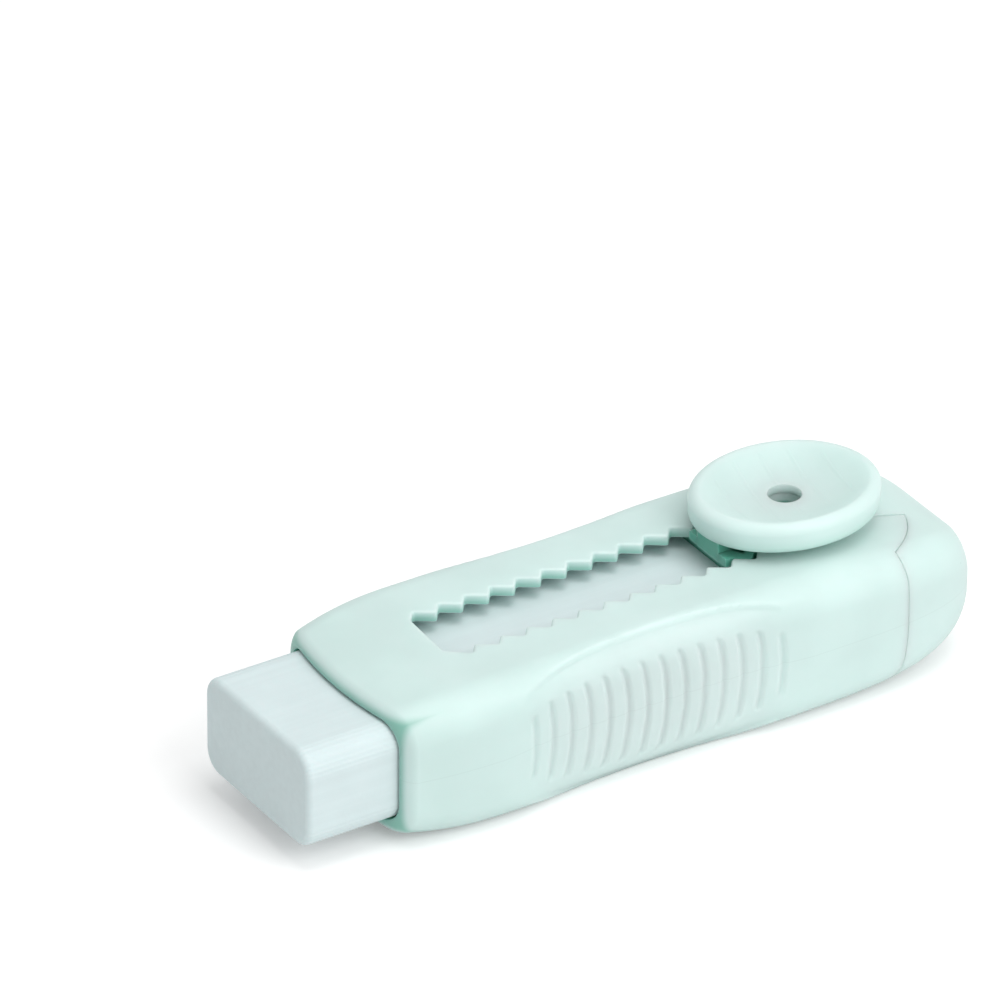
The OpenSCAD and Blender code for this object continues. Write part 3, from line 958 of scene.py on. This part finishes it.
def plasticMaterial(name, paintedShadeAt, inner=plastic["shadedMint"], mouldLine=False, ribs=None, glow=2.5):
    mat, tree, shader, place = startMaterial(name)
    skin = placeGroup(tree, mouldedSkin, place)
    # painted shade: where the mask is, the mint turns towards the darker shade colour
    colour = mixColour(tree, paintedShadeAt(tree, place), plastic["mint"], inner)
    shade = rangeNode(tree, skin.outputs["Tone"], *toneRange, 1 - plastic["toneSpread"], 1.0)
    if mouldLine:
        off = mathNode(tree, "ABSOLUTE", mathNode(tree, "SUBTRACT", placeAlong(tree, place, "Z"), midZ * mm))
        line = rangeNode(tree, off, plastic["lineHalfW"], plastic["lineFadeTo"], plastic["lineShade"], 1.0)
        shade = mathNode(tree, "MULTIPLY", shade, line)
    colour = shadeColour(tree, colour, shade)
    colour = mixColour(tree, skin.outputs["Specks"], colour, plastic["speck"])
    tree.links.new(colour, shader.inputs["Base Color"])
    rough = rangeNode(tree, skin.outputs["Tone"], *toneRange, *plastic["roughness"])
    tree.links.new(rough, shader.inputs["Roughness"])
    height = skin.outputs["Grain"]
    if ribs:
        height = mathNode(tree, "ADD", height, ribs(tree, place))
    bumpFrom(tree, shader, height, plastic["grainHeight"])
    letLightIn(shader, plastic["glowShare"], plastic["glowRadius"], glow)
    return mat


# Painted shade, darker where light reaches less: in the bore, down the slot's walls, on the cap's plug, on
# the slider's head and under the button. In mm: after the bore's box, each fade is from, to and its share at
# both

paintedShadeFades = {
    "boreHalfW": 12.4,
    "boreLow": 2.7,
    "boreHigh": 17.2,
    "boreSoft": 1.2,
    "boreRimX": (-42, -38, 0.75, 1.0),
    "boreEndX": (-36, -32, 1.0, 0.0),
    "slotWallZ": (18.3, 19.7, 0.85, 0.0),
    "slotWallY": (6.2, 7.0, 1.0, 0.0),
    "slotFrontX": (-33, -32, 0.0, 1.0),
    "slotBackX": (8, 13, 1.0, 0.0),
    "capX": (28.5, 29.8, 0.4, 0.0),
    "headZ": (20.9, 21.5, 1.0, 0.0),
    "padZ": (buttonLow.z, buttonLow.z + 2.0, 0.3, 0.0),
}


def paintedShadeOver(tree, value, label):
    start, end, first, last = paintedShadeFades[label]
    return rangeNode(tree, value, start * mm, end * mm, first, last)


def product(tree, first, *others):
    for other in others:
        first = mathNode(tree, "MULTIPLY", first, other)
    return first


# Painted shade in the holder: inside the mouth's bore and down the slot's walls
def holderPaintedShade(tree, place):
    x, y, z = (placeAlong(tree, place, axis) for axis in "XYZ")
    inBore = placeGroup(tree, insideMask, place,
                        Half_Width=paintedShadeFades["boreHalfW"] * mm, Low=paintedShadeFades["boreLow"] * mm,
                        High=paintedShadeFades["boreHigh"] * mm, Soft_Edge=paintedShadeFades["boreSoft"] * mm).outputs["Mask"]
    bore = product(tree, inBore, paintedShadeOver(tree, x, "boreRimX"), paintedShadeOver(tree, x, "boreEndX"))
    slotWall = product(tree, paintedShadeOver(tree, z, "slotWallZ"),
                       paintedShadeOver(tree, mathNode(tree, "ABSOLUTE", y), "slotWallY"),
                       paintedShadeOver(tree, x, "slotFrontX"), paintedShadeOver(tree, x, "slotBackX"))
    return mathNode(tree, "MAXIMUM", bore, slotWall)


# Painted shade on the cap's plug and tongue, ahead of the seam
def capPaintedShade(tree, place):
    return paintedShadeOver(tree, placeAlong(tree, place, "X"), "capX")


# Painted shade on the slider's neck and head, below the button
def sliderPaintedShade(tree, place):
    return paintedShadeOver(tree, placeAlong(tree, place, "Z"), "headZ")


# Painted shade on the button, darker towards its underside
def padPaintedShade(tree, place):
    return paintedShadeOver(tree, placeAlong(tree, place, "Z"), "padZ")


# Faint ribs across the dish, a little askew

padRib = {
    "pitch": 3.75 * mm,
    "halfW": 0.35 * mm,
    "height": 7.0,           # in grains
    "shift": 21.1 * mm,
    "askew": 10,
    "dishEdge": (0.74, 0.8),  # share of the oval where they end
}


def padRibs(tree, place):
    turn = tree.nodes.new("ShaderNodeMapping")
    turn.inputs["Location"].default_value = (-padRib["shift"], 0, 0)
    turn.inputs["Rotation"].default_value = (0, 0, math.radians(padRib["askew"]))
    tree.links.new(place, turn.inputs["Vector"])
    across = placeAlong(tree, turn.outputs["Vector"], "X")
    off = mathNode(tree, "PINGPONG", across, padRib["pitch"] / 2)
    rib = rangeNode(tree, off, 0.0, padRib["halfW"], padRib["height"], 0.0)
    oval = tree.nodes.new("ShaderNodeMapping")
    oval.inputs["Location"].default_value = (-buttonMiddle.x / buttonHalf.x, 0, 0)
    oval.inputs["Scale"].default_value = (1 / (buttonHalf.x * mm), 1 / (buttonHalf.y * mm), 0)
    tree.links.new(place, oval.inputs["Vector"])
    share = tree.nodes.new("ShaderNodeVectorMath")
    share.operation = "LENGTH"
    tree.links.new(oval.outputs["Vector"], share.inputs[0])
    inDish = rangeNode(tree, share.outputs["Value"], *padRib["dishEdge"], 1.0, 0.0)
    return mathNode(tree, "MULTIPLY", rib, inDish)


eraser = {
    "rubber": (0.645, 0.75, 0.76),
    "speck": (0.35, 0.48, 0.5),
    "roughness": 0.68,
    "toneSpread": 0.05,
    "grainHeight": 0.02 * mm,
    "streakSize": 900,       # drawn out along the block
    "streakStretch": 0.02,
    "glowShare": 0.2,
    "glowRadius": (0.7, 1.0, 0.95),
    "glowReach": 1.5,
}


def rubberMaterial():
    mat, tree, shader, place = startMaterial("paleRubber")
    skin = placeGroup(tree, mouldedSkin, place, Tone_Size=160.0, Grain_Size=1800.0,
                      Speck_Size=0.03, Speck_Share=0.2)
    lengthwise = tree.nodes.new("ShaderNodeMapping")
    lengthwise.inputs["Scale"].default_value = (eraser["streakStretch"], 1, 1)
    tree.links.new(place, lengthwise.inputs["Vector"])
    streak = noiseNode(tree, lengthwise.outputs["Vector"], eraser["streakSize"], 2)
    both = mathNode(tree, "ADD", mathNode(tree, "MULTIPLY", skin.outputs["Tone"], 0.5),
                    mathNode(tree, "MULTIPLY", streak, 0.5))
    shade = rangeNode(tree, both, *toneRange, 1 - eraser["toneSpread"], 1.0)
    colour = shadeColour(tree, eraser["rubber"], shade)
    colour = mixColour(tree, skin.outputs["Specks"], colour, eraser["speck"])
    tree.links.new(colour, shader.inputs["Base Color"])
    shader.inputs["Roughness"].default_value = eraser["roughness"]
    bumpFrom(tree, shader, skin.outputs["Grain"], eraser["grainHeight"])
    letLightIn(shader, eraser["glowShare"], eraser["glowRadius"], eraser["glowReach"])
    return mat


print("scene: materials")
# Each plastic mixes its mint with a painted shade colour where its mask says
holderMint = plasticMaterial("holderMint", holderPaintedShade, plastic["paintedShadeMint"], mouldLine=True)
capMint = plasticMaterial("capMint", capPaintedShade, mouldLine=True)
padMint = plasticMaterial("padMint", padPaintedShade, ribs=padRibs, glow=5.0)
sliderMint = plasticMaterial("sliderMint", sliderPaintedShade, plastic["paintedShadeMint"])
rubber = rubberMaterial()


def dress(name, bm, mat, body, node):
    print("scene:", name)
    piece = evenNormals(makePiece(name, bm))
    piece.data.materials.append(mat)
    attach(piece, body)
    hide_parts(node)


dress("sleeveShell", combine(buildSleeve(), buildSlotCutter(), "DIFFERENCE"), holderMint,
      "holder", "sleeve")
dress("capShell", buildCap(), capMint, "cap", "end_cap")
dress("thumbPad", combine(buildButton(), buildSocket(), "DIFFERENCE"), padMint,
      "slide", "thumb_button")
dress("rubberBlock", buildBlock(), rubber, "block", "eraser_block")
dress("farClickLeaf", buildFarSpring(), sliderMint, "slide", "far_click_spring")

print("scene: slider and near spring, as the CAD has them")
for node in ("slider", "near_click_spring"):
    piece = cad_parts[node]
    piece.data.materials.clear()
    piece.data.materials.append(sliderMint)

# Camera at the photograph's place

view = {
    "place": (-0.657279, -0.989137, 0.741974),
    "turn": -32.7686,
    "tilt": 90 - 30.9685,
    "roll": 0.3709,
    "lens": 405.722,
    "sensorW": 36,
    "clipEnd": 10,
}
camera = bpy.data.objects.new("camera", bpy.data.cameras.new("camera"))
sceneRoot.objects.link(camera)
camera.data.lens = view["lens"]
camera.data.sensor_width = view["sensorW"]
camera.data.clip_end = view["clipEnd"]
camera.matrix_world = (Matrix.Translation(view["place"])
                       @ Matrix.Rotation(math.radians(view["turn"]), 4, "Z")
                       @ Matrix.Rotation(math.radians(view["tilt"]), 4, "X")
                       @ Matrix.Rotation(math.radians(view["roll"]), 4, "Z"))
bpy.context.scene.camera = camera

# Light and floor

studio = {
    "worldLight": 0.6,
    "sidePower": 2.05,
    "sideFrom": (0.12, -0.50, 0.45),
    "topPower": 2.1,
    "topFrom": (0.05, -0.12, 0.82),
    "lampSize": 0.5,
    "floorHalf": 1.5,
    "floorColour": (0.86, 0.86, 0.86),
    "floorRoughness": 0.9,
    "floorGlow": 0.2,
}


# The world lights the object softly and shows white to the camera

def buildWorld():
    world = bpy.data.worlds.new("studio")
    world.use_nodes = True
    bpy.context.scene.world = world
    tree = world.node_tree
    light = tree.nodes["Background"]
    light.inputs["Strength"].default_value = studio["worldLight"]
    light.inputs["Color"].default_value = (1, 1, 1, 1)
    white = tree.nodes.new("ShaderNodeBackground")
    white.inputs["Color"].default_value = (1, 1, 1, 1)
    path = tree.nodes.new("ShaderNodeLightPath")
    seen = mathNode(tree, "MAXIMUM", path.outputs["Is Camera Ray"], path.outputs["Is Transmission Ray"])
    mix = tree.nodes.new("ShaderNodeMixShader")
    for i, output in enumerate((seen, light.outputs[0], white.outputs[0])):
        tree.links.new(output, mix.inputs[i])
    tree.links.new(mix.outputs[0], tree.nodes["World Output"].inputs["Surface"])


def buildFloor():
    bm = bmesh.new()
    bmesh.ops.create_grid(bm, x_segments=1, y_segments=1, size=studio["floorHalf"])
    floor = makePiece("floor", bm)
    mat = bpy.data.materials.new("paleFloor")
    mat.use_nodes = True
    tree = mat.node_tree
    shader = tree.nodes["Principled BSDF"]
    shader.inputs["Base Color"].default_value = (*studio["floorColour"], 1)
    shader.inputs["Roughness"].default_value = studio["floorRoughness"]
    shader.inputs["Specular IOR Level"].default_value = 0.0
    path = tree.nodes.new("ShaderNodeLightPath")
    glow = mathNode(tree, "MULTIPLY", path.outputs["Is Camera Ray"], studio["floorGlow"])
    shader.inputs["Emission Color"].default_value = (1, 1, 1, 1)
    tree.links.new(glow, shader.inputs["Emission Strength"])
    floor.data.materials.append(mat)


def buildLamp(name, power, place):
    lamp = bpy.data.lights.new(name, "AREA")
    lamp.energy = power
    lamp.shape = "DISK"
    lamp.size = studio["lampSize"]
    stand = bpy.data.objects.new(name, lamp)
    sceneRoot.objects.link(stand)
    aim = (-Vector(place)).to_track_quat("-Z", "Y").to_matrix().to_4x4()
    stand.matrix_world = Matrix.Translation(place) @ aim


print("scene: light and floor")
buildWorld()
buildFloor()
buildLamp("side", studio["sidePower"], studio["sideFrom"])
buildLamp("top", studio["topPower"], studio["topFrom"])
bpy.context.scene.view_settings.view_transform = "Standard"
